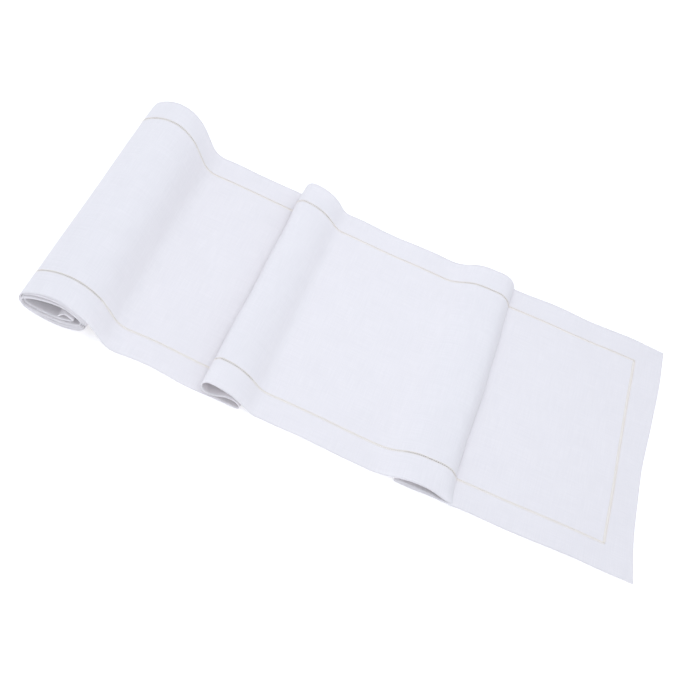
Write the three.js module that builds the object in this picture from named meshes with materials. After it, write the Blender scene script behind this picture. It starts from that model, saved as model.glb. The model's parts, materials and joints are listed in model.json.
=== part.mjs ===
// Table runner: a white linen cloth with plain wide hems and a beige hemstitch row inside them.
// It lies with its free end flat, two soft S folds across it and its other end in a loose flat roll.
// Millimetres. +X points from the roll to the free end, +Y from the near long edge to the far one, +Z up.
import * as THREE from 'three';

// The cloth, measured flat.
const runnerLength = 1828.8;
const runnerWidth = 406.4;
const hemWidth = 38.1;
const rowWidth = 3;
const panelThickness = 0.6;
const hemThickness = 1.2;
const rowThickness = 0.6;
const seamGap = 0.3;
const mitreTip = 0.8;

// The fold next to the free end: a tight loop on the table, an underlap falling slightly to the toe,
// then a low hump turning back over it with a sloping shoulder.
const freeFold = {
  loopRadius: 1.3, underlap: 58.5, underlapFall: 1, toeRadius: 2.2, toeAngle: 125,
  shoulderRadius: 24, crest: 16, fallAngle: 30,
};

// The fold in the middle: a long rise, a round left side and an arched tuck below it.
const midFold = {
  height: 25, riseAngle: 40, footRadius: 22, crownRadius: 62,
  tuckLift: 4, archLift: 8, archAngle: 34, tipLead: 14, tipAngle: 50,
};

// The roll: an oval spiral, flatter below than above, each bend a step inside the last.
const roll = {
  halfWidth: 40.9, endRadius: 18.3, topAngle: 70, bottomAngle: 43, bends: 17,
  widthStep: 0.55, endStep: 0.78, flankAngle: 50, flankFoot: 30,
};

// The roll's inner end: it lifts off the layer below, doubles back and hangs down in the hollow.
// It has to fit inside the innermost turn, so its lengths are shares of that turn's height.
const innerEnd = {
  liftRadius: 2.1862, liftAngle: 44.5, liftRun: 0.3042,
  curlRadius: 0.0913, curlAngle: 136, curlRun: 0.2661,
  tipRadius: 0.1521, tipAngle: 75, tipRun: 0.3042,
};

// How the flat length left over by the folds and the roll is shared: free end, middle, roll side.
const flatShares = [0.492, 0.244, 0.264];

// The cloth is not laid dead straight: towards the roll it shears round and drifts back, and the
// roll stands lower at the near edge than at the far one.
const rollShear = 0.068;
const rollDrift = 9;
const rollTaper = 0.21;
const midFoldSkew = 0.5;

const edge = runnerWidth / 2;
const restHeight = hemThickness / 2;
const degreesPerStep = 12;
const skewSteps = 6;

const radians = THREE.MathUtils.degToRad;
const sagitta = (radius, degrees) => radius * (1 - Math.cos(radians(degrees)));

// The line the cloth follows in the X-Z plane: straights and arcs that run smoothly into each other.
class FoldLine {
  constructor(height) {
    this.at = new THREE.Vector2(0, height);
    this.heading = Math.PI;
    this.length = 0;
    this.runs = [];
  }

  add(curve, length, steps) {
    this.runs.push({ curve, length, steps, start: this.length });
    this.length += length;
    this.at = curve.getPoint(1);
  }

  straight(distance, steps = 1) {
    const step = new THREE.Vector2(Math.cos(this.heading), Math.sin(this.heading));
    const end = this.at.clone().addScaledVector(step, distance);
    this.add(new THREE.LineCurve(this.at.clone(), end), distance, steps);
  }

  // Positive degrees turn counter-clockwise.
  bend(radius, degrees) {
    const side = Math.sign(degrees);
    const sweep = radians(degrees);
    const toCentre = this.heading + side * Math.PI / 2;
    const centreX = this.at.x + radius * Math.cos(toCentre);
    const centreZ = this.at.y + radius * Math.sin(toCentre);
    const from = toCentre + Math.PI;
    const arc = new THREE.EllipseCurve(centreX, centreZ, radius, radius, from, from + sweep, side < 0);
    this.add(arc, radius * Math.abs(sweep), Math.ceil(Math.abs(degrees) / degreesPerStep));
    this.heading += sweep;
  }

  runAt(s) {
    return this.runs.find((run) => s <= run.start + run.length) ?? this.runs.at(-1);
  }

  frameAt(s) {
    const run = this.runAt(s);
    const t = THREE.MathUtils.clamp((s - run.start) / run.length, 0, 1);
    const point = run.curve.getPoint(t);
    const tangent = run.curve.getTangent(t);
    return { point, normal: new THREE.Vector2(-tangent.y, tangent.x) };
  }

  // Distances along the line between two ends where the cloth needs a row of vertices.
  stations(from, to, extra = []) {
    const marks = [from, to, ...extra];
    for (const { start, length, steps } of this.runs) {
      for (let i = 0; i <= steps; i += 1) marks.push(start + (length * i) / steps);
    }
    const kept = marks.filter((s) => s >= from && s <= to).sort((a, b) => a - b);
    return kept.filter((s, i) => i === 0 || s - kept[i - 1] > 0.05);
  }
}

function layFreeFold(line) {
  const { loopRadius, underlap, underlapFall, toeRadius, toeAngle } = freeFold;
  const { shoulderRadius, crest, fallAngle } = freeFold;
  line.bend(loopRadius, -180 - underlapFall);
  line.straight(underlap);
  line.bend(toeRadius, underlapFall + toeAngle);
  line.bend(shoulderRadius, 180 - toeAngle);
  line.straight(crest);
  const fallRadius = (line.at.y - restHeight) / sagitta(2, fallAngle);
  line.bend(fallRadius, fallAngle);
  line.bend(fallRadius, -fallAngle);
}

function layMidFold(line) {
  const { height, riseAngle, footRadius, crownRadius } = midFold;
  const { tuckLift, archLift, archAngle, tipLead, tipAngle } = midFold;
  const slope = (height - sagitta(footRadius + crownRadius, riseAngle)) / Math.sin(radians(riseAngle));
  const archRadius = archLift / sagitta(2, archAngle);
  const tipDrop = tuckLift + archLift - sagitta(tipLead, tipAngle);
  const tipRadius = tipDrop / (1 + Math.cos(radians(tipAngle)));
  line.bend(footRadius, -riseAngle);
  line.straight(slope);
  line.bend(crownRadius, riseAngle);
  line.bend((height - tuckLift) / 2, 180);
  line.bend(archRadius, archAngle);
  line.bend(archRadius, -archAngle);
  line.bend(tipLead, -tipAngle);
  line.bend(tipRadius, tipAngle - 180);
}

// The radius of the roll's bend i at its left or right end.
const tight = (i) => roll.endRadius - i * roll.endStep;

// The radius of the roll's bend i where it is an arc across the roll from one tight end to the other.
function broad(i, angle) {
  const sine = Math.sin(radians(angle / 2));
  return (roll.halfWidth - i * roll.widthStep - tight(i) * (1 - sine)) / sine;
}

// How high a turn stands, from the middle of its bottom arc to the middle of its top arc.
function turnHeight(topBend, bottomBend) {
  const halfTop = roll.topAngle / 2;
  const halfBottom = roll.bottomAngle / 2;
  const topRise = sagitta(broad(topBend, roll.topAngle), halfTop);
  const bottomRise = sagitta(broad(bottomBend, roll.bottomAngle), halfBottom);
  const endShare = Math.cos(radians(halfTop)) + Math.cos(radians(halfBottom));
  return topRise + bottomRise + tight((topBend + bottomBend) / 2) * endShare;
}

function layRoll(line) {
  const { topAngle, bottomAngle, bends, flankAngle, flankFoot } = roll;
  const topRadius = broad(0, topAngle);
  const straightRise = turnHeight(0, 2) - sagitta(topRadius + flankFoot, flankAngle);
  line.bend(flankFoot, -flankAngle);
  line.straight(straightRise / Math.sin(radians(flankAngle)));
  line.bend(topRadius, flankAngle + topAngle / 2);
  for (let i = 1; i <= bends; i += 1) {
    const broadAngle = i % 4 === 2 ? bottomAngle : topAngle;
    if (i % 2 === 1) line.bend(tight(i), 180 - (topAngle + bottomAngle) / 2);
    else line.bend(broad(i, broadAngle), broadAngle);
  }
}

function layInnerEnd(line) {
  const { liftRadius, liftAngle, liftRun, curlRadius, curlAngle, curlRun } = innerEnd;
  const { tipRadius, tipAngle, tipRun } = innerEnd;
  const hollow = turnHeight(roll.bends - 1, roll.bends - 3);
  line.bend(liftRadius * hollow, liftAngle);
  line.straight(liftRun * hollow);
  line.bend(curlRadius * hollow, curlAngle);
  line.straight(curlRun * hollow);
  line.bend(tipRadius * hollow, tipAngle);
  line.straight(tipRun * hollow);
}

const lengthOf = (lay) => {
  const line = new FoldLine(restHeight);
  lay(line);
  return line.length;
};

const folded = [layFreeFold, layMidFold, layRoll, layInnerEnd];
const foldedLength = folded.reduce((sum, lay) => sum + lengthOf(lay), 0);
const [freeFlat, midFlat, rollFlat] = flatShares.map((share) => share * (runnerLength - foldedLength));

const line = new FoldLine(restHeight);
line.straight(freeFlat);
layFreeFold(line);
const midFlatStart = line.length;
line.straight(midFlat, skewSteps);
layMidFold(line);
const rollFlatStart = line.length;
line.straight(rollFlat, skewSteps);
layRoll(line);
layInnerEnd(line);

const { smoothstep } = THREE.MathUtils;

// Skew and taper only grow where the cloth lies flat, so layers that lie on each other share them.
function clothPoint(s, y, offset) {
  const { point, normal } = line.frameAt(s);
  const pastMidFlat = smoothstep(s, midFlatStart, midFlatStart + midFlat);
  const pastRollFlat = smoothstep(s, rollFlatStart, rollFlatStart + rollFlat);
  const skew = THREE.MathUtils.lerp(midFoldSkew * pastMidFlat, 1, pastRollFlat);
  const taper = 1 + (rollTaper * pastRollFlat * y) / edge;
  const x = point.x + normal.x * offset - rollShear * skew * y;
  return new THREE.Vector3(x, y + rollDrift * skew, (point.y + normal.y * offset) * taper);
}

// A flat piece of cloth between two distances, bent along the fold line. sides(s) gives its two Y edges.
function clothStrip(name, from, to, sides, thickness, material, extra) {
  const stations = line.stations(from, to, extra);
  const last = stations.length - 1;
  const geometry = new THREE.BoxGeometry(1, 1, 1, last, 1, 1);
  const positions = geometry.attributes.position;
  for (let i = 0; i < positions.count; i += 1) {
    const s = stations[Math.round((positions.getX(i) + 0.5) * last)];
    const [low, high] = sides(s);
    const y = THREE.MathUtils.lerp(low, high, positions.getY(i) + 0.5);
    const { x, y: across, z } = clothPoint(s, y, positions.getZ(i) * thickness);
    positions.setXYZ(i, x, across, z);
  }
  geometry.computeVertexNormals();
  const mesh = new THREE.Mesh(geometry, material);
  mesh.name = name;
  return mesh;
}

const linen = new THREE.MeshStandardMaterial({ color: 0xe9e9f2, roughness: 0.9, metalness: 0 });
const thread = new THREE.MeshStandardMaterial({ color: 0xd9cbbb, roughness: 0.85, metalness: 0 });

const hemLine = edge - hemWidth;
const rowOuter = hemLine - seamGap;
const rowInner = hemLine - rowWidth + seamGap;
const panelEdge = hemLine - rowWidth;
const panelEnd = hemWidth + rowWidth;
const mitreMarks = [mitreTip, hemWidth, runnerLength - hemWidth, runnerLength - mitreTip];
const fromEnd = (s) => Math.min(s, runnerLength - s);
const mirrored = (side, near, far) => (side < 0 ? [-far, -near] : [near, far]);

function centrePanel() {
  const sides = () => [-panelEdge, panelEdge];
  return clothStrip('centre_panel', panelEnd, runnerLength - panelEnd, sides, panelThickness, linen);
}

function longHem(name, side) {
  const depth = (s) => THREE.MathUtils.clamp(fromEnd(s), mitreTip, hemWidth);
  const sides = (s) => mirrored(side, edge - depth(s), edge);
  return clothStrip(name, 0, runnerLength, sides, hemThickness, linen, mitreMarks);
}

function endHem(name, from) {
  const reach = (s) => edge - Math.max(fromEnd(s), mitreTip) - seamGap * Math.SQRT2;
  const sides = (s) => [-reach(s), reach(s)];
  return clothStrip(name, from, from + hemWidth, sides, hemThickness, linen, mitreMarks);
}

function longRow(name, side) {
  const sides = () => mirrored(side, rowInner, rowOuter);
  const start = hemWidth + seamGap;
  return clothStrip(name, start, runnerLength - start, sides, rowThickness, thread);
}

function endRow(name, from) {
  const reach = rowInner - seamGap;
  const sides = () => [-reach, reach];
  return clothStrip(name, from, from + rowWidth - 2 * seamGap, sides, rowThickness, thread);
}

const pieces = [
  centrePanel(),
  longHem('long_hem_near', -1),
  longHem('long_hem_far', 1),
  endHem('end_hem_free', 0),
  endHem('end_hem_rolled', runnerLength - hemWidth),
  longRow('hemstitch_near', -1),
  longRow('hemstitch_far', 1),
  endRow('hemstitch_free_end', hemWidth + seamGap),
  endRow('hemstitch_rolled_end', runnerLength - panelEnd + seamGap),
];

const runner = new THREE.Group();
runner.name = 'table_runner';
runner.add(...pieces);

// The origin is the middle of the laid-out runner's box, on the table.
const box = new THREE.Box3().setFromObject(runner);
const centre = box.getCenter(new THREE.Vector3());
for (const piece of pieces) piece.geometry.translate(-centre.x, -centre.y, -box.min.z);

export default runner;
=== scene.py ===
"""A white hemstitched linen table runner, laid out with two soft folds and one end loosely rolled.

The cloth is made flat, as a sheet measured by s (distance along it) and y (distance across it), and
laid along the same fold line as the CAD. Lengths inside the cloth code are millimetres; the meshes
are in metres, in the part's frame.
"""

import json
import math

import bpy
import numpy as np
from mathutils import Matrix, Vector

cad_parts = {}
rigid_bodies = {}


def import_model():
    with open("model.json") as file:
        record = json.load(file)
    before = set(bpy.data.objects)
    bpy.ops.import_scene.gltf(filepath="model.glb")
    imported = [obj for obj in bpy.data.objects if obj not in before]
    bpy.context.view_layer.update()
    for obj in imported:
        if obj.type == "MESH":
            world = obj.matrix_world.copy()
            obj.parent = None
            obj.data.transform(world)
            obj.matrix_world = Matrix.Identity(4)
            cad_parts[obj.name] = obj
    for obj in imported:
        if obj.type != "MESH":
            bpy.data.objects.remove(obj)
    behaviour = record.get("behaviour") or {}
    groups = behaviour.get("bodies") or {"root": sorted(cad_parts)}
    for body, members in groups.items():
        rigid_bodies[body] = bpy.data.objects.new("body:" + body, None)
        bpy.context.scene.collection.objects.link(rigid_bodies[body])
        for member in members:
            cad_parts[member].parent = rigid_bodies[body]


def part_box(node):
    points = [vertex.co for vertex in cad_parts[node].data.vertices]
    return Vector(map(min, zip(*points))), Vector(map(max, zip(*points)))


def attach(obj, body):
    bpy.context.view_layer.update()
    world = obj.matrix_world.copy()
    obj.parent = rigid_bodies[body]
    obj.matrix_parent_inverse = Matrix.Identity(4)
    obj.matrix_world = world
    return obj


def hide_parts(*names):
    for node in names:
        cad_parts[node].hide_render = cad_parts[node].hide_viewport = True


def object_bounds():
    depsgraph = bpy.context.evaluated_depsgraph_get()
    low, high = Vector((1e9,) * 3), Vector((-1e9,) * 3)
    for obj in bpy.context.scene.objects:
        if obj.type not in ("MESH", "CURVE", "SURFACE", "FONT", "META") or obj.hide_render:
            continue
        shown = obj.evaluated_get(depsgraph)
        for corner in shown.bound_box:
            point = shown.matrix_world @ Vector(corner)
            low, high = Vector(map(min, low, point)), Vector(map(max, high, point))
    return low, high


for leftover in list(bpy.data.objects):
    bpy.data.objects.remove(leftover)
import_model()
cad_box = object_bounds()

MM = 0.001

# The cloth, measured flat, in millimetres. The same sizes as the CAD.
LENGTH = 1828.8
WIDTH = 406.4
HEM = 38.1
ROW = 3.0
EDGE = WIDTH / 2
HEM_LINE = EDGE - HEM
PANEL_EDGE = HEM_LINE - ROW
PANEL_END = HEM + ROW
REST = 0.6
MITRE_TIP = 0.8

# A little thinner than in the CAD, to leave more room between the layers of the folds and the roll.
PANEL_THICK = 0.5
HEM_THICK = 1.05

# The folds, the roll and the way the cloth is laid, as in the CAD. Angles are degrees.
FREE_FOLD = dict(
    loop=1.3, underlap=58.5, underlap_fall=1.0, toe=2.2, toe_angle=125.0,
    shoulder=24.0, crest=16.0, fall=30.0,
)
MID_FOLD = dict(
    height=25.0, rise=40.0, foot=22.0, crown=62.0,
    tuck_lift=4.0, arch_lift=8.0, arch=34.0, tip_lead=14.0, tip=50.0,
)
ROLL = dict(
    half_width=40.9, end=18.3, top=70.0, bottom=43.0, bends=17,
    width_step=0.55, end_step=0.78, flank=50.0, flank_foot=30.0,
)
INNER_END = dict(
    lift=57.5, lift_angle=44.5, lift_run=8.0, curl=2.4, curl_angle=136.0, curl_run=7.0,
    tip=4.0, tip_angle=75.0, tip_run=8.0,
)
FLAT_SHARES = (0.492, 0.244, 0.264)
ROLL_SHEAR = 0.068
ROLL_DRIFT = 9.0
ROLL_TAPER = 0.21
MID_SKEW = 0.5


# ---------------------------------------------------------------- the fold line

def sagitta(radius, degrees):
    return radius * (1 - math.cos(math.radians(degrees)))


class FoldLine:
    """Straights and arcs in the X-Z plane that run smoothly into each other, starting towards -X."""

    STEP = 0.25
    NO_BEND = 1e6

    def __init__(self):
        self.x = 0.0
        self.z = REST
        self.heading = math.pi
        self.points = [(self.x, self.z)]
        self.radii = [self.NO_BEND]
        self.length = 0.0

    def advance(self, distance, turn, radius):
        steps = max(1, round(distance / self.STEP))
        chord = distance / steps
        if turn:
            chord *= math.sin(abs(turn) / steps / 2) / (abs(turn) / steps / 2)
        for _ in range(steps):
            self.heading += turn / steps / 2
            self.x += chord * math.cos(self.heading)
            self.z += chord * math.sin(self.heading)
            self.heading += turn / steps / 2
            self.points.append((self.x, self.z))
            self.radii.append(radius)
        self.length += distance

    def straight(self, distance):
        self.advance(distance, 0.0, self.NO_BEND)

    def bend(self, radius, degrees):
        turn = math.radians(degrees)
        self.advance(radius * abs(turn), turn, radius)


def lay_free_fold(line):
    f = FREE_FOLD
    line.bend(f["loop"], -180 - f["underlap_fall"])
    line.straight(f["underlap"])
    line.bend(f["toe"], f["underlap_fall"] + f["toe_angle"])
    line.bend(f["shoulder"], 180 - f["toe_angle"])
    line.straight(f["crest"])
    fall_radius = (line.z - REST) / (2 * sagitta(1, f["fall"]))
    line.bend(fall_radius, f["fall"])
    line.bend(fall_radius, -f["fall"])


def lay_mid_fold(line):
    f = MID_FOLD
    straight_rise = f["height"] - sagitta(f["foot"] + f["crown"], f["rise"])
    arch_radius = f["arch_lift"] / (2 * sagitta(1, f["arch"]))
    tip_drop = f["tuck_lift"] + f["arch_lift"] - sagitta(f["tip_lead"], f["tip"])
    tip_radius = tip_drop / (1 + math.cos(math.radians(f["tip"])))
    line.bend(f["foot"], -f["rise"])
    line.straight(straight_rise / math.sin(math.radians(f["rise"])))
    line.bend(f["crown"], f["rise"])
    line.bend((f["height"] - f["tuck_lift"]) / 2, 180)
    line.bend(arch_radius, f["arch"])
    line.bend(arch_radius, -f["arch"])
    line.bend(f["tip_lead"], -f["tip"])
    line.bend(tip_radius, f["tip"] - 180)


def lay_roll(line):
    r = ROLL
    half_top = math.radians(r["top"] / 2)
    half_bottom = math.radians(r["bottom"] / 2)

    def tight(i):
        return r["end"] - i * r["end_step"]

    def broad(i, half):
        """The radius of an arc across the roll that reaches from one tight end to the other."""
        reach = r["half_width"] - i * r["width_step"] - tight(i) * (1 - math.sin(half))
        return reach / math.sin(half)

    top_radius = broad(0, half_top)
    height = sagitta(top_radius, r["top"] / 2) + sagitta(broad(2, half_bottom), r["bottom"] / 2)
    height += tight(1) * (math.cos(half_top) + math.cos(half_bottom))
    rounding = sagitta(top_radius + r["flank_foot"], r["flank"])
    line.bend(r["flank_foot"], -r["flank"])
    line.straight((height - rounding) / math.sin(math.radians(r["flank"])))
    line.bend(top_radius, r["flank"] + r["top"] / 2)
    for i in range(1, r["bends"] + 1):
        if i % 2 == 1:
            line.bend(tight(i), 180 - (r["top"] + r["bottom"]) / 2)
        elif i % 4 == 2:
            line.bend(broad(i, half_bottom), r["bottom"])
        else:
            line.bend(broad(i, half_top), r["top"])


def lay_inner_end(line):
    e = INNER_END
    line.bend(e["lift"], e["lift_angle"])
    line.straight(e["lift_run"])
    line.bend(e["curl"], e["curl_angle"])
    line.straight(e["curl_run"])
    line.bend(e["tip"], e["tip_angle"])
    line.straight(e["tip_run"])


def length_of(lay):
    line = FoldLine()
    lay(line)
    return line.length


folded = sum(length_of(lay) for lay in (lay_free_fold, lay_mid_fold, lay_roll, lay_inner_end))
FREE_FLAT, MID_FLAT, ROLL_FLAT = (share * (LENGTH - folded) for share in FLAT_SHARES)

line = FoldLine()
line.straight(FREE_FLAT)
lay_free_fold(line)
MID_START = line.length
line.straight(MID_FLAT)
MID_FOLD_START = line.length
lay_mid_fold(line)
ROLL_START = line.length
line.straight(ROLL_FLAT)
FLANK_START = line.length
lay_roll(line)
lay_inner_end(line)

# The line as tables by distance, softened a little where straights meet arcs.
SOFTENING = 0.8
table_s = np.linspace(0.0, LENGTH, len(line.points))
table_x, table_z = np.array(line.points).T
table_radius = np.array(line.radii)
FLANK_X = float(np.interp(FLANK_START, table_s, table_x))


def soften(values):
    reach = int(4 * SOFTENING / FoldLine.STEP)
    offsets = np.arange(-reach, reach + 1) * FoldLine.STEP
    weights = np.exp(-0.5 * (offsets / SOFTENING) ** 2)
    weights /= weights.sum()
    start = 2 * values[0] - values[reach:0:-1]
    end = 2 * values[-1] - values[-2:-reach - 2:-1]
    return np.convolve(np.concatenate([start, values, end]), weights, mode="valid")


table_x = soften(table_x)
table_z = soften(table_z)


# ---------------------------------------------------------------- how the cloth lies

def smoothstep(value, low, high):
    t = np.clip((value - low) / (high - low), 0.0, 1.0)
    return t * t * (3 - 2 * t)


def bump(value, centre, width):
    return np.exp(-0.5 * ((value - centre) / width) ** 2)


class Wander:
    """A smooth random wave of s and y, from -1 to 1, with features of about the given sizes."""

    TERMS = 7

    def __init__(self, seed, along, across):
        rng = np.random.default_rng(seed)
        self.ks = 2 * math.pi / along * rng.uniform(0.55, 1.6, self.TERMS) * rng.choice([-1, 1], self.TERMS)
        self.ky = 2 * math.pi / across * rng.uniform(0.3, 1.4, self.TERMS)
        self.phase = rng.uniform(0, 2 * math.pi, self.TERMS)
        self.scale = 1 / math.sqrt(self.TERMS)

    def __call__(self, s, y):
        total = 0.0
        for ks, ky, phase in zip(self.ks, self.ky, self.phase):
            total = total + np.sin(ks * s + ky * y + phase)
        return total * self.scale


# A wave that hardly changes one way is given a very long feature that way.
ENDLESS = 1e5
flat_wave = Wander(3, along=150, across=260)
fine_wave = Wander(8, along=60, across=110)
near_edge_wave = Wander(12, along=120, across=ENDLESS)
far_edge_wave = Wander(15, along=140, across=ENDLESS)
crease_wave = Wander(21, along=ENDLESS, across=170)
layer_wave = Wander(27, along=110, across=300)
end_wave = Wander(31, along=ENDLESS, across=150)
slide_wave = Wander(37, along=260, across=ENDLESS)

# The real cloth departs from the CAD in small ways. A span is where an effect sets in and is complete;
# a bump has a centre and a width. Places are distances along or across the cloth.

# How far in from a long edge the effects of that edge reach.
EDGE_FADE = 30.0

# The humps of the two folds: where they rise and fall, and how much lower they stand at the near edge
# and higher at the far one, with a slow wave between, as shares of their height. They also waver
# along the runner, in millimetres. The wave is read at its own place for each.
FREE_HUMP_RISE = (FREE_FLAT - 4, FREE_FLAT + 6)
FREE_HUMP_FALL = (MID_START - 30, MID_START + 10)
MID_HUMP_RISE = (MID_FOLD_START - 10, MID_FOLD_START + 30)
MID_HUMP_FALL = (ROLL_START - 12, ROLL_START + 12)
FREE_HUMP_DROP = dict(near=0.34, far=0.05, wave=0.035)
MID_HUMP_DROP = dict(near=0.09, far=0.06, wave=0.03)
HUMP_WAVER_FREE = 0.6
HUMP_WAVER_MID = 1.2
FREE_WAVE_AT = 0
MID_WAVE_AT = 300
WAVER_WAVE_AT = 150

# The toe of the fold by the free end: the upper layer is pressed down in a crease, most at the near
# edge, towards the top of the layer below.
TOE = FREE_FLAT + 65.0
UNDERLAP_TOP = 2.2
NEAR_TOE_DROP = 0.45
NEAR_TOE_FADE = 14.0
NEAR_TOE_PLACE = (TOE + 12, 9)
TOE_SQUEEZE = 0.58
TOE_SQUEEZE_WIDTH = 5
MOST_PRESS = 0.88
CREASE_SAG = 0.5
CREASE_SAG_PLACE = (TOE - 8, 20)
CREASE_SAG_INSIDE_HEM = (-4, 16)

# The crease's path: moved right, turned, bowed in the middle, spread at the near edge, with a rounded
# nose past it that is fullest on the near side, and a short diagonal pucker.
CREASE_WIDTH = 24
CREASE_RIGHT = 2.4
CREASE_TURN = 1.2
CREASE_BOW = 2.6
CREASE_BOW_PLACE = (0, 90)
TOE_SPREAD = 7.5
TOE_NOSE = 1.0
TOE_NOSE_PLACE = (TOE + 9, 6)
TOE_NOSE_LEAST = 0.45
TOE_NOSE_SPAN = (-60, 120)
PUCKER = 1.1
PUCKER_SLANT = 0.55
PUCKER_ORIGIN = -76
PUCKER_PLACE = (TOE + 16, 4)
PUCKER_ACROSS = (-70, 16)

# Flat stretches lift off the table a little, most along the edges.
FLANK_GRIP = (FLANK_START - 10, FLANK_START + 25)
BROAD_LIFT = 0.4
FINE_LIFT = 0.1
NEAR_LIFT = 0.4
NEAR_LIFT_WAVE = 0.6
FAR_LIFT = 0.2
FAR_LIFT_WAVE = 0.4

# The roll: where it begins, how its layers wander, how it narrows and slides at its near end.
ROLL_ONSET = (FLANK_START, FLANK_START + 60)
LAYER_SLACK = 0.3
SLACK_RIPPLE = 37
ROLL_NARROWING = 0.028
ROLL_NEAR_IN = 4.0
ROLL_NEAR_SPAN = (60, 190)
ROLL_SLIDE = 1.4

# The layers inside the roll have packed to the left and sunk, more the deeper they are.
ROLL_CENTRE = FLANK_X - 78.0
PACKING_START = FLANK_START + 60
PACKING_SHORT = 160
PACKING_RUN = LENGTH - FLANK_START - PACKING_SHORT
PACKING_LEFT = 4.0
PACKING_DOWN = 1.6
PACKING_REACH = (0, ROLL["half_width"] - 4)
PACKING_TOP = 24.0
PACKING_DEPTH = (-8, 12)

# The free end bows in and waves a little; the middle fold's far end leans right.
END_BOW = -7.8
END_BOW_PLACE = (-70, 88)
END_BOW_SQUARENESS = 8
END_WAVE = 0.5
END_WAVE_FADE = 50
FAR_HUMP_RIGHT = 4.0
FAR_HUMP_PLACE = (MID_FOLD_START + 40, 26)

# Across the cloth: the far stitching and edge lie further in, both edges waver, and the near one
# bulges out beside the fold by the free end.
FAR_IN_FROM = 40
FAR_STITCH_IN = 3.5
FAR_EDGE_IN = 1.3
NEAR_EDGE_WAVER = 0.7
FAR_EDGE_WAVER = 0.6
NEAR_BULGE = 3.2
NEAR_BULGE_PLACE = (FREE_FLAT - 66, 16)


class Spots:
    """Places on the flat cloth, and how strongly each part of the layout acts on them, 0 to 1."""

    def __init__(self, s, y):
        self.s, self.y = np.broadcast_arrays(np.asarray(s, float), np.asarray(y, float))
        past_mid = smoothstep(self.s, MID_START, MID_START + MID_FLAT)
        self.past_roll = smoothstep(self.s, ROLL_START, FLANK_START)
        self.skew = MID_SKEW * past_mid * (1 - self.past_roll) + self.past_roll
        self.near = np.exp(-(self.y + EDGE) / EDGE_FADE)
        self.far = np.exp((self.y - EDGE) / EDGE_FADE)
        self.roll = smoothstep(self.s, *ROLL_ONSET)
        self.free_hump = smoothstep(self.s, *FREE_HUMP_RISE) * (1 - smoothstep(self.s, *FREE_HUMP_FALL))
        self.mid_hump = smoothstep(self.s, *MID_HUMP_RISE) * (1 - smoothstep(self.s, *MID_HUMP_FALL))


def hump_drop(at, drop, wave):
    return drop["near"] * at.near - drop["far"] * at.far - drop["wave"] * wave


def lower_humps(at, z):
    """The humps stand lower at their near cut ends, where nothing holds them up."""
    press = at.free_hump * hump_drop(at, FREE_HUMP_DROP, crease_wave(FREE_WAVE_AT, at.y))
    press = press + NEAR_TOE_DROP * np.exp(-(at.y + EDGE) / NEAR_TOE_FADE) * bump(at.s, *NEAR_TOE_PLACE)
    press = press + TOE_SQUEEZE * bump(at.s, TOE, TOE_SQUEEZE_WIDTH)
    z = z - np.minimum(press, MOST_PRESS) * np.maximum(z - UNDERLAP_TOP, 0)
    inside_hem = smoothstep(HEM_LINE - np.abs(at.y), *CREASE_SAG_INSIDE_HEM)
    z = z - CREASE_SAG * inside_hem * bump(at.s, *CREASE_SAG_PLACE)
    mid_drop = hump_drop(at, MID_HUMP_DROP, crease_wave(MID_WAVE_AT, at.y))
    return z * (1 - at.mid_hump * mid_drop)


def table_lift(at):
    """How far flat stretches lift; the folds and the roll don't."""
    flat = (1 - at.free_hump) * (1 - at.mid_hump) * (1 - smoothstep(at.s, *FLANK_GRIP))
    lift = BROAD_LIFT * (1 + flat_wave(at.s, at.y)) + FINE_LIFT * (1 + fine_wave(at.s, at.y))
    near_lift = at.near * (NEAR_LIFT + NEAR_LIFT_WAVE * near_edge_wave(at.s, at.y))
    far_lift = at.far * (FAR_LIFT + FAR_LIFT_WAVE * far_edge_wave(at.s, at.y))
    return flat * np.maximum(lift + near_lift + far_lift, 0)


def pack_inner_layers(at, x, z):
    depth = np.clip((at.s - PACKING_START) / PACKING_RUN, 0, 1)
    leftness = smoothstep(ROLL_CENTRE - x, *PACKING_REACH)
    low = smoothstep(PACKING_TOP - z, *PACKING_DEPTH)
    return x - PACKING_LEFT * depth * leftness, z - PACKING_DOWN * depth * leftness * low


def shift_folds(at, x):
    """Moves along the runner: the roll's narrowing and shear, wavering humps and the crease's path."""
    narrowing = 1 - ROLL_NARROWING * at.roll * at.y / EDGE
    x = FLANK_X + (x - FLANK_X) * np.where(at.s > FLANK_START, narrowing, 1)
    x = x - ROLL_SHEAR * at.skew * at.y
    waver = HUMP_WAVER_FREE * at.free_hump + HUMP_WAVER_MID * at.mid_hump
    x = x + waver * crease_wave(WAVER_WAVE_AT, at.y)
    crease_shift = CREASE_RIGHT + CREASE_TURN * at.y / EDGE + CREASE_BOW * bump(at.y, *CREASE_BOW_PLACE)
    x = x + (TOE_SPREAD * at.near + crease_shift) * bump(at.s, TOE, CREASE_WIDTH)
    fullness = TOE_NOSE_LEAST + (1 - TOE_NOSE_LEAST) * smoothstep(-at.y, *TOE_NOSE_SPAN)
    x = x + TOE_NOSE * bump(at.s, *TOE_NOSE_PLACE) * fullness
    slanted = at.s - PUCKER_SLANT * (at.y - PUCKER_ORIGIN)
    x = x - PUCKER * bump(slanted, *PUCKER_PLACE) * bump(at.y, *PUCKER_ACROSS)
    return x + FAR_HUMP_RIGHT * bump(at.s, *FAR_HUMP_PLACE) * smoothstep(at.y, 0, EDGE)


def shape_free_end(at, x):
    square = 1 - (at.y / EDGE) ** END_BOW_SQUARENESS
    x = x + END_BOW * bump(at.y, *END_BOW_PLACE) * square * np.clip(1 - at.s / HEM, 0, 1)
    return x + END_WAVE * end_wave(0, at.y) * np.exp(-at.s / END_WAVE_FADE)


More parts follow.
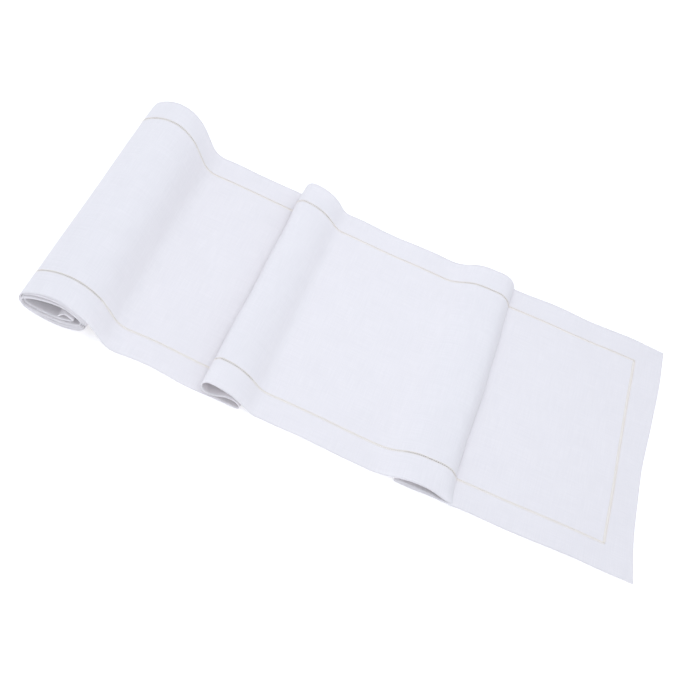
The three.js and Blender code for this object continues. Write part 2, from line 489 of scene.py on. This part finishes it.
def lay_across(at):
    across = at.y + ROLL_DRIFT * at.skew
    across = across - np.interp(at.y, [FAR_IN_FROM, HEM_LINE, EDGE], [0, FAR_STITCH_IN, FAR_EDGE_IN])
    across = across + NEAR_EDGE_WAVER * at.near * near_edge_wave(at.s, 0)
    across = across + FAR_EDGE_WAVER * at.far * far_edge_wave(at.s, 0)
    across = across - NEAR_BULGE * at.near * bump(at.s, *NEAR_BULGE_PLACE)
    across = across + ROLL_NEAR_IN * at.roll * smoothstep(-at.y, *ROLL_NEAR_SPAN)
    return across + ROLL_SLIDE * at.roll * slide_wave(at.s, 0)


def lie(s, y):
    """Where the cloth's middle surface lies, in millimetres, for arrays of s and y."""
    at = Spots(s, y)
    x = np.interp(at.s, table_s, table_x)
    z = np.interp(at.s, table_s, table_z)
    z = lower_humps(at, z)
    x, z = pack_inner_layers(at, x, z)
    slack = LAYER_SLACK * at.roll * layer_wave(at.s, at.y)
    x = shape_free_end(at, shift_folds(at, x) + slack)
    taper = 1 + ROLL_TAPER * at.past_roll * at.y / EDGE
    z = z * taper + table_lift(at) + slack * np.sin(at.s / SLACK_RIPPLE)
    return np.stack([x, lay_across(at), z], axis=-1)


NORMAL_STEP = 0.4


def normals(s, y):
    along = lie(s + NORMAL_STEP, y) - lie(s - NORMAL_STEP, y)
    across = lie(s, y + NORMAL_STEP) - lie(s, y - NORMAL_STEP)
    n = np.cross(along, across)
    return n / np.linalg.norm(n, axis=-1, keepdims=True)


free_low, free_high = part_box("end_hem_free")
ORIGIN = np.array([free_high.x, (free_low.y + free_high.y) / 2, 0.0])


def place(s, y, offset):
    """Points in metres in the part's frame, an offset in millimetres off the cloth's middle surface."""
    s, y, offset = np.broadcast_arrays(*(np.asarray(v, float) for v in (s, y, offset)))
    return (lie(s, y) + normals(s, y) * offset[..., None]) * MM + ORIGIN


COARSEST = 4.0
FINEST = 0.5
BEND_SHARE = 0.14


def stations(start, end):
    """Distances along the cloth, closer together where it bends."""
    marks = [start]
    while marks[-1] < end - FINEST:
        radius = np.interp(marks[-1] + 1, table_s, table_radius)
        marks.append(marks[-1] + min(max(radius * BEND_SHARE, FINEST), COARSEST))
    marks[-1] = end
    return np.array(marks)


# ---------------------------------------------------------------- mesh making

def new_mesh(name, points, faces, uv=None, sharp=None, material=None):
    mesh = bpy.data.meshes.new(name)
    mesh.from_pydata(points.reshape(-1, 3).tolist(), [], faces.tolist())
    mesh.update()
    mesh.polygons.foreach_set("use_smooth", np.ones(len(mesh.polygons), bool))
    if uv is not None:
        layer = mesh.uv_layers.new(name="cloth")
        corner = np.empty(len(mesh.loops), np.int32)
        mesh.loops.foreach_get("vertex_index", corner)
        layer.data.foreach_set("uv", uv.reshape(-1, 2)[corner].astype(np.float32).ravel())
    if sharp is not None:
        attribute = mesh.attributes.new("sharp_edge", "BOOLEAN", "EDGE")
        ends = np.empty(len(mesh.edges) * 2, np.int32)
        mesh.edges.foreach_get("vertices", ends)
        flags = sharp.ravel()[ends].reshape(-1, 2).all(axis=1)
        attribute.data.foreach_set("value", flags)
    piece = bpy.data.objects.new(name, mesh)
    bpy.context.scene.collection.objects.link(piece)
    if material:
        mesh.materials.append(material)
    return piece


def grid_faces(rows, columns, wrap=False):
    """Quads of a grid of vertices, its columns joined round if wrap is set."""
    i = np.arange(rows - 1)[:, None]
    j = np.arange(columns if wrap else columns - 1)[None, :]
    k = (j + 1) % columns
    a, b = i * columns + j, i * columns + k
    c, d = (i + 1) * columns + k, (i + 1) * columns + j
    return np.stack([a, b, c, d], axis=-1).reshape(-1, 4)


def tube_faces(tubes, rings, sides):
    """Quads of many equal tubes, each a run of rings of vertices."""
    one = grid_faces(rings, sides, wrap=True)
    return (one[None] + (np.arange(tubes) * rings * sides)[:, None, None]).reshape(-1, 4)


PANEL_COLUMNS = 56
LONG_HEM_POINTS = 14
END_HEM_POINTS = 34
END_HEM_ROWS = 64

# A hem's outer edge is rounded off, and full just inside it, where the turned cloth is folded.
EDGE_ROUNDING = 0.32
EDGE_ROUNDING_PLACE = (1.0, 0.012)
EDGE_FULLNESS = 0.06
EDGE_FULLNESS_PLACE = (0.95, 0.04)


def hem_section(count):
    """The closed outline across a turned hem: fractions of its width, and offsets off the middle."""
    v = np.linspace(0, 1, count)
    round_off = 1 - EDGE_ROUNDING * bump(v, *EDGE_ROUNDING_PLACE)
    fullness = 1 + EDGE_FULLNESS * bump(v, *EDGE_FULLNESS_PLACE)
    top = HEM_THICK / 2 * round_off * fullness
    across = np.concatenate([v, v[::-1]])
    offset = np.concatenate([top, -top[::-1]])
    return across, offset


def cloth_panel(material):
    s = stations(PANEL_END, LENGTH - PANEL_END)
    y = np.linspace(-PANEL_EDGE, PANEL_EDGE, PANEL_COLUMNS)
    grid_s, grid_y = np.meshgrid(s, y, indexing="ij")
    rows, columns = grid_s.shape
    top = place(grid_s, grid_y, -PANEL_THICK / 2)
    under = place(grid_s, grid_y, PANEL_THICK / 2)
    points = np.concatenate([top.reshape(-1, 3), under.reshape(-1, 3)])
    faces = grid_faces(rows, columns)
    count = rows * columns
    index = np.arange(count).reshape(rows, columns)
    rim = np.concatenate([index[0, :], index[1:, -1], index[-1, -2::-1], index[-2:0:-1, 0]])
    after = np.roll(rim, -1)
    walls = np.stack([rim, rim + count, after + count, after], axis=-1)
    faces = np.concatenate([faces[:, ::-1], faces + count, walls[:, ::-1]])
    uv = np.stack([grid_s, grid_y], axis=-1).reshape(-1, 2) * MM
    uv = np.concatenate([uv, uv])
    sharp = np.zeros(count, bool)
    sharp[rim] = True
    sharp = np.concatenate([sharp, sharp])
    return new_mesh("centre_cloth", points, faces, uv, sharp, material)


def lofted_hem(name, grid_s, grid_y, offsets, material):
    """A hem from its outlines: one row of the grids is one closed outline."""
    rows, columns = grid_s.shape
    points = place(grid_s, grid_y, offsets)
    faces = grid_faces(rows, columns, wrap=True)
    half = columns // 2
    ahead = np.arange(columns)
    back = ahead[::-1]
    cap = np.stack([ahead[:half - 1], ahead[1:half], back[1:half], back[:half - 1]], axis=-1)
    faces = np.concatenate([faces, cap[:, ::-1], cap + (rows - 1) * columns])
    uv = np.stack([grid_s, grid_y], axis=-1) * MM
    sharp = np.zeros((rows, columns), bool)
    sharp[[0, -1]] = True
    sharp[:, [0, -1]] = True
    return new_mesh(name, points, faces, uv, sharp, material)


def long_hem(name, side, material):
    s = stations(0.0, LENGTH)
    s = np.unique(np.concatenate([s, [MITRE_TIP, HEM, LENGTH - HEM, LENGTH - MITRE_TIP]]))
    across, offset = hem_section(LONG_HEM_POINTS)
    depth = np.clip(np.minimum(s, LENGTH - s), MITRE_TIP, HEM)
    grid_s = np.broadcast_to(s[:, None], (len(s), len(across)))
    grid_y = side * (EDGE - depth[:, None] * (1 - across[None, :]))
    offsets = np.broadcast_to(side * offset[None, :], grid_s.shape)
    return lofted_hem(name, grid_s, grid_y, offsets, material)


def end_hem(name, at_start, material):
    across, offset = hem_section(END_HEM_POINTS)
    depth = HEM * (1 - across)
    s = depth if at_start else LENGTH - depth
    share = np.linspace(-1, 1, END_HEM_ROWS)
    reach = EDGE - np.maximum(depth, MITRE_TIP)
    grid_s = np.broadcast_to(s[None, :], (len(share), len(s)))
    grid_y = share[:, None] * reach[None, :]
    side = 1 if at_start else -1
    offsets = np.broadcast_to(side * offset[None, :], grid_s.shape)
    return lofted_hem(name, grid_s, grid_y, offsets, material)


# ---------------------------------------------------------------- hemstitching

LADDER_PITCH = 2.4

# Bundles of the cloth's own yarns cross the row, a little wider where they leave the cloth. They lean
# and vary by random amounts.
BUNDLE_SIDES = 6
BUNDLE_RINGS = 6
BUNDLE_TUCK = 0.7
BUNDLE_WAIST = 0.86
BUNDLE_FLARE = 0.20
BUNDLE_HALF_THICK = 0.25
BUNDLE_SHIFT = 0.07
BUNDLE_LEAN = 0.08
BUNDLE_LEAST = 0.9
BUNDLE_MOST = 1.12

# The thread runs along both sides of the row and loops round each bundle.
THREAD_SIDES = 5
THREAD_RINGS_PER_PITCH = 5
THREAD_RADIUS = 0.24
THREAD_INSET = 0.1
THREAD_SWING = 0.22
THREAD_LOOP = 0.30

# Stitches catch the hem's edge between the bundles. Each starts a bite into the hem, sunk in its face,
# rises to a crown, wraps round the hem's edge through the throat and goes back along the other face.
STITCH_RADIUS = 0.16
STITCH_BITE = 1.7
STITCH_SINK = 0.12
STITCH_CROWN = 0.05
STITCH_CROWN_AT = 0.55
STITCH_WRAP = 0.05
STITCH_THROAT = 0.4
STITCH_CLEAR = 0.02
STITCH_SHIFT = 0.08
STITCH_SPLAY = 0.25


class Row:
    """Where a hemstitched row lies. along says whether it runs along s; outward points to the hem."""

    def __init__(self, start, end, middle, along, outward):
        self.start = start
        self.end = end
        self.middle = middle
        self.along = along
        self.outward = outward
        self.count = int(round((end - start) / LADDER_PITCH))
        self.pitch = (end - start) / self.count
        self.centres = start + (np.arange(self.count) + 0.5) * self.pitch

    def points(self, run, cross, offset):
        """Points from distances along the row, out from its middle and off the cloth."""
        cross = self.middle + self.outward * cross
        return place(run, cross, offset) if self.along else place(cross, run, offset)


def circle(sides):
    angle = np.arange(sides) * 2 * math.pi / sides
    return np.cos(angle), np.sin(angle)


def yarn_bundles(row, rng):
    cosine, sine = circle(BUNDLE_SIDES)
    t = np.linspace(0, 1, BUNDLE_RINGS)
    cross = (t - 0.5) * (ROW + BUNDLE_TUCK)
    flare = BUNDLE_WAIST + BUNDLE_FLARE * np.abs(2 * t - 1) ** 3
    each = (row.count, 1)
    lean = rng.normal(0, BUNDLE_SHIFT, each) + rng.normal(0, BUNDLE_LEAN, each) * (2 * t - 1)
    run = row.centres[:, None] + lean
    half_width = flare[None, :] * rng.uniform(BUNDLE_LEAST, BUNDLE_MOST, each)
    run = run[..., None] + half_width[..., None] * cosine
    faces = tube_faces(row.count, BUNDLE_RINGS, BUNDLE_SIDES)
    return row.points(run, cross[:, None], BUNDLE_HALF_THICK * sine), faces


def side_thread(row, side):
    cosine, sine = circle(THREAD_SIDES)
    rings = row.count * THREAD_RINGS_PER_PITCH + 1
    run = np.linspace(row.start, row.end, rings)[None, :]
    phase = 2 * math.pi * (run - row.start) / row.pitch
    cross = side * (ROW / 2 - THREAD_INSET) + THREAD_SWING * np.cos(phase)
    offset = THREAD_LOOP * np.sin(phase)
    cross = cross[..., None] + THREAD_RADIUS * cosine
    offset = offset[..., None] + THREAD_RADIUS * sine
    return row.points(run[..., None], cross, offset), tube_faces(1, rings, THREAD_SIDES)


def catch_stitches(row, rng):
    cosine, sine = circle(THREAD_SIDES)
    edge = ROW / 2
    over = HEM_THICK / 2 + STITCH_CLEAR
    upper = [
        (edge + STITCH_BITE, over - STITCH_SINK),
        (edge + STITCH_BITE * STITCH_CROWN_AT, over + STITCH_CROWN),
        (edge - STITCH_WRAP, over),
    ]
    lower = [(cross, -offset) for cross, offset in reversed(upper)]
    path = [*upper, (edge - STITCH_THROAT, 0.0), *lower]
    cross, offset = np.array(path).T
    run = row.centres[:, None] + row.pitch / 2 + rng.normal(0, STITCH_SHIFT, (row.count, 1))
    run = run + np.zeros(len(path))
    run[:, 0] += STITCH_SPLAY
    run[:, -1] -= STITCH_SPLAY
    tangent = np.stack([np.gradient(cross), np.gradient(offset)], axis=-1)
    tangent /= np.linalg.norm(tangent, axis=-1, keepdims=True)
    cross = cross[:, None] - STITCH_RADIUS * sine * tangent[:, 1, None]
    offset = offset[:, None] + STITCH_RADIUS * sine * tangent[:, 0, None]
    run = run[..., None] + STITCH_RADIUS * cosine
    return row.points(run, cross, offset), tube_faces(row.count, len(path), THREAD_SIDES)


def join_parts(name, groups, materials):
    """One mesh object from lists of (points, faces), each list with its own material."""
    points, faces, slots = [], [], []
    base = 0
    for slot, parts in enumerate(groups):
        for part_points, part_faces in parts:
            flat_points = part_points.reshape(-1, 3)
            points.append(flat_points)
            faces.append(part_faces + base)
            slots.append(np.full(len(part_faces), slot, np.int32))
            base += len(flat_points)
    piece = new_mesh(name, np.concatenate(points), np.concatenate(faces))
    for material in materials:
        piece.data.materials.append(material)
    piece.data.polygons.foreach_set("material_index", np.concatenate(slots))
    return piece


def hemstitch_row(name, row, materials, seed):
    rng = np.random.default_rng(seed)
    bundles = yarn_bundles(row, rng)
    threads = [side_thread(row, -1), side_thread(row, 1), catch_stitches(row, rng)]
    return join_parts(name, [[bundles], threads], materials)


# ---------------------------------------------------------------- materials

def node_maker(material):
    """A function that adds a node and links or sets its inputs."""
    material.use_nodes = True
    tree = material.node_tree
    tree.nodes.clear()

    def make(kind, inputs, **settings):
        node = tree.nodes.new(kind)
        for key, value in settings.items():
            setattr(node, key, value)
        for key, value in inputs.items():
            if isinstance(value, bpy.types.NodeSocket):
                tree.links.new(value, node.inputs[key])
            else:
                node.inputs[key].default_value = value
        return node

    return make


def math_of(make, operation, *values):
    return make("ShaderNodeMath", dict(enumerate(values)), operation=operation).outputs[0]


def noise(make, vector, scale, detail):
    inputs = {"Vector": vector, "Scale": scale, "Detail": detail}
    return make("ShaderNodeTexNoise", inputs).outputs[0]


def map_range(make, value, from_range, to_range):
    inputs = {
        "Value": value, "From Min": from_range[0], "From Max": from_range[1],
        "To Min": to_range[0], "To Max": to_range[1],
    }
    return make("ShaderNodeMapRange", inputs).outputs[0]


def two_colours(make, tone, low, dark, high, light):
    """A blend from dark to light as tone goes from low to high."""
    node = make("ShaderNodeValToRGB", {0: tone})
    start, end = node.color_ramp.elements
    start.position = low
    start.color = (*dark, 1)
    end.position = high
    end.color = (*light, 1)
    return node.outputs[0]


def relief_of(make, height, strength, distance):
    inputs = {"Strength": strength, "Distance": distance, "Height": height}
    return make("ShaderNodeBump", inputs).outputs[0]


YARN_PITCH = 0.00052
YARN_DRIFT = 0.0006
YARN_ROUNDING = 0.6
CROSSING_RELIEF = 0.4
SLUB_LENGTHWISE = 28.0
SLUB_CROSSWISE = 900.0
SLUB_TONE = 0.6
MOTTLE_TONE = 0.4
SLUB_RELIEF = 0.9
LINEN_DARK = (0.862, 0.830, 0.845)
LINEN_LIGHT = (0.922, 0.889, 0.903)
SEEN_THROUGH = 0.14


def woven_relief(make, uv, u, v):
    """Round yarns over and under; a slow drift keeps them from being ruler-straight."""
    drift = noise(make, uv, scale=45.0, detail=1.0)
    turn = math.pi / YARN_PITCH
    waves = []
    for way in (u, v):
        bent = math_of(make, "MULTIPLY_ADD", drift, YARN_DRIFT, way)
        waves.append(math_of(make, "SINE", math_of(make, "MULTIPLY", bent, turn)))
    crossing = math_of(make, "MULTIPLY", *waves)
    yarns = [math_of(make, "MULTIPLY", math_of(make, "ABSOLUTE", wave), YARN_ROUNDING) for wave in waves]
    return math_of(make, "MULTIPLY_ADD", crossing, CROSSING_RELIEF, math_of(make, "MAXIMUM", *yarns))


def slub_streaks(make, u, v):
    """Long thin streaks where a yarn is thicker, along the cloth and across it."""
    streaks = []
    for u_scale, v_scale in ((SLUB_LENGTHWISE, SLUB_CROSSWISE), (SLUB_CROSSWISE, SLUB_LENGTHWISE)):
        stretched = make("ShaderNodeCombineXYZ", {
            0: math_of(make, "MULTIPLY", u, u_scale), 1: math_of(make, "MULTIPLY", v, v_scale)})
        streaks.append(noise(make, stretched.outputs[0], scale=1.0, detail=2.0))
    return map_range(make, math_of(make, "ADD", *streaks), (0.85, 1.35), (0.0, 1.0))


def linen_material():
    """Plain-woven white linen with slubs, a soft sheen and a little light coming through."""
    material = bpy.data.materials.new("linen")
    make = node_maker(material)
    uv = make("ShaderNodeUVMap", {}, uv_map="cloth").outputs[0]
    split = make("ShaderNodeSeparateXYZ", {0: uv})
    u = split.outputs[0]
    v = split.outputs[1]
    weave = woven_relief(make, uv, u, v)
    slubs = slub_streaks(make, u, v)
    mottle = math_of(make, "MULTIPLY", noise(make, uv, scale=22.0, detail=3.0), MOTTLE_TONE)
    tone = math_of(make, "MULTIPLY_ADD", slubs, SLUB_TONE, mottle)
    height = math_of(make, "MULTIPLY_ADD", slubs, SLUB_RELIEF, weave)
    relief = relief_of(make, height, strength=0.35, distance=0.00016)
    cloth = make("ShaderNodeBsdfPrincipled", {
        "Base Color": two_colours(make, tone, 0.1, LINEN_DARK, 0.9, LINEN_LIGHT),
        "Roughness": map_range(make, weave, (0.0, 1.0), (0.92, 0.74)),
        "Normal": relief, "Sheen Weight": 0.22, "Sheen Roughness": 0.45, "Specular IOR Level": 0.25,
    })
    glow = make("ShaderNodeBsdfTranslucent", {"Color": (0.86, 0.76, 0.74, 1), "Normal": relief})
    mix = make("ShaderNodeMixShader", {0: SEEN_THROUGH, 1: cloth.outputs[0], 2: glow.outputs[0]})
    make("ShaderNodeOutputMaterial", {0: mix.outputs[0]})
    return material


# How much the colour darkens in the grooves between the plies: painted shade.
PLY_GROOVE_SHADE = 0.35
THREAD_MOTTLE_TONE = 0.65


def thread_material(name, dark, light):
    """Twisted thread: fine slanting plies, painted shade in the grooves between them, and a little random
    colour variation.
    """
    material = bpy.data.materials.new(name)
    make = node_maker(material)
    spot = make("ShaderNodeTexCoord", {}).outputs["Object"]
    wave = {"Vector": spot, "Scale": 900.0, "Distortion": 1.5, "Detail": 1.0}
    plies = make("ShaderNodeTexWave", wave, wave_type="BANDS", bands_direction="DIAGONAL").outputs[1]
    mottle = math_of(make, "MULTIPLY", noise(make, spot, scale=160.0, detail=3.0), THREAD_MOTTLE_TONE)
    # The colour is partly a random mottle and partly painted shade, darker in the grooves between the
    # plies.
    tone = math_of(make, "MULTIPLY_ADD", plies, PLY_GROOVE_SHADE, mottle)
    shader = make("ShaderNodeBsdfPrincipled", {
        "Base Color": two_colours(make, tone, 0.15, dark, 0.85, light),
        "Roughness": map_range(make, plies, (0.0, 1.0), (0.8, 0.6)),
        "Normal": relief_of(make, plies, strength=0.5, distance=0.0001),
        "Sheen Weight": 0.2, "Specular IOR Level": 0.3,
    })
    make("ShaderNodeOutputMaterial", {0: shader.outputs[0]})
    return material


def floor_material():
    """Matt white paper with the faintest tooth, glowing a little so that it stays pure white."""
    material = bpy.data.materials.new("white_paper")
    make = node_maker(material)
    spot = make("ShaderNodeTexCoord", {}).outputs["Object"]
    tooth = noise(make, spot, scale=120.0, detail=2.0)
    shader = make("ShaderNodeBsdfPrincipled", {
        "Base Color": (0.96, 0.96, 0.96, 1), "Roughness": 0.9, "Specular IOR Level": 0.1,
        "Normal": relief_of(make, tooth, strength=0.05, distance=0.0002),
        "Emission Color": (1, 1, 1, 1), "Emission Strength": 0.3,
    })
    make("ShaderNodeOutputMaterial", {0: shader.outputs[0]})
    return material


# ---------------------------------------------------------------- the runner

linen = linen_material()
thread = thread_material("beige_thread", dark=(0.84, 0.73, 0.63), light=(0.92, 0.83, 0.75))
yarn = thread_material("linen_yarn", dark=(0.84, 0.78, 0.72), light=(0.90, 0.85, 0.80))

panel = cloth_panel(linen)
hems = {
    "long_hem_near": long_hem("hem_cloth_near", -1, linen),
    "long_hem_far": long_hem("hem_cloth_far", 1, linen),
    "end_hem_free": end_hem("hem_cloth_free", True, linen),
    "end_hem_rolled": end_hem("hem_cloth_rolled", False, linen),
}

ROW_MIDDLE = HEM_LINE - ROW / 2
END_MIDDLE = HEM + ROW / 2
near_row = Row(HEM, LENGTH - HEM, -ROW_MIDDLE, along=True, outward=-1)
far_row = Row(HEM, LENGTH - HEM, ROW_MIDDLE, along=True, outward=1)
free_end_row = Row(-PANEL_EDGE, PANEL_EDGE, END_MIDDLE, along=False, outward=-1)
rolled_end_row = Row(-PANEL_EDGE, PANEL_EDGE, LENGTH - END_MIDDLE, along=False, outward=1)
rows = {
    "hemstitch_near": hemstitch_row("ladder_near", near_row, [yarn, thread], seed=41),
    "hemstitch_far": hemstitch_row("ladder_far", far_row, [yarn, thread], seed=43),
    "hemstitch_free_end": hemstitch_row("ladder_free_end", free_end_row, [yarn, thread], seed=47),
    "hemstitch_rolled_end": hemstitch_row("ladder_rolled_end", rolled_end_row, [yarn, thread], seed=53),
}

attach(panel, "root")
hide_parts("centre_panel")
for node, piece in hems.items():
    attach(piece, "root")
    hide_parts(node)
for node, piece in rows.items():
    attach(piece, "root")
    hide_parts(node)

# ---------------------------------------------------------------- the stage

FLOOR_SIZE = 12
FLOOR_GAP = 0.0002
bpy.ops.mesh.primitive_plane_add(size=FLOOR_SIZE, location=(0, 0, cad_box[0].z - FLOOR_GAP))
floor = bpy.context.object
floor.name = "floor"
floor.data.materials.append(floor_material())


def face(obj, location, right, up, forward):
    """Puts a light or the camera at a place, looking forward."""
    turn = Matrix([[right[i], up[i], -forward[i]] for i in range(3)])
    obj.matrix_world = Matrix.Translation(location) @ turn.to_4x4()


def area_light(name, location, target, size, watts, colour):
    data = bpy.data.lights.new(name, "AREA")
    data.shape = "SQUARE"
    data.size = size
    data.energy = watts
    data.color = colour
    light = bpy.data.objects.new(name, data)
    bpy.context.scene.collection.objects.link(light)
    direction = np.array(target) - np.array(location)
    forward = direction / np.linalg.norm(direction)
    right = np.cross(forward, (0, 0, 1))
    right /= np.linalg.norm(right)
    face(light, location, right, np.cross(right, forward), forward)


# Small lights, because a large one would hide the even, pale blue world that gives most of the light.
COOL = (0.95, 1.005, 1.08)
LESS_COOL = (0.95, 1.005, 1.06)
area_light("key", (-1.1, 0.3, 1.1), (0, 0, 0), size=0.4, watts=1.7, colour=LESS_COOL)
area_light("overhead", (0.02, 0.10, 0.85), (0.03, 0.05, 0), size=0.4, watts=1.3, colour=COOL)
area_light("front", (-0.3, -1.3, 0.5), (-0.1, 0, 0), size=0.5, watts=2.0, colour=COOL)

world = bpy.data.worlds.new("studio")
bpy.context.scene.world = world
world.use_nodes = True
sky = world.node_tree.nodes["Background"]
sky.inputs["Color"].default_value = (0.949, 1.005, 1.086, 1)
sky.inputs["Strength"].default_value = 0.88

# The photograph's viewpoint: the lens and sensor in mm, how far down, round and rolled it looks in
# degrees, and its place in mm from the middle of the free end.
SENSOR = 36.0
LENS = 57.64
PITCH = 43.89
HEADING = 1.32
CAMERA_ROLL = 22.54
CAMERA_PLACE = (-369.7, -1023.7, 948.6)


def photo_camera():
    pitch = math.radians(PITCH)
    heading = math.radians(HEADING)
    roll = math.radians(CAMERA_ROLL)
    forward = np.array([
        -math.sin(heading) * math.cos(pitch), math.cos(heading) * math.cos(pitch), -math.sin(pitch)])
    level_right = np.array([math.cos(heading), math.sin(heading), 0.0])
    level_up = np.cross(level_right, forward)
    right = math.cos(roll) * level_right + math.sin(roll) * level_up
    up = math.cos(roll) * level_up - math.sin(roll) * level_right
    data = bpy.data.cameras.new("camera")
    data.lens = LENS
    data.sensor_width = SENSOR
    data.clip_start = 0.01
    data.clip_end = 50
    camera = bpy.data.objects.new("camera", data)
    bpy.context.scene.collection.objects.link(camera)
    face(camera, np.array(CAMERA_PLACE) * MM + ORIGIN, right, up, forward)
    bpy.context.scene.camera = camera


photo_camera()
bpy.context.scene.view_settings.view_transform = "Standard"
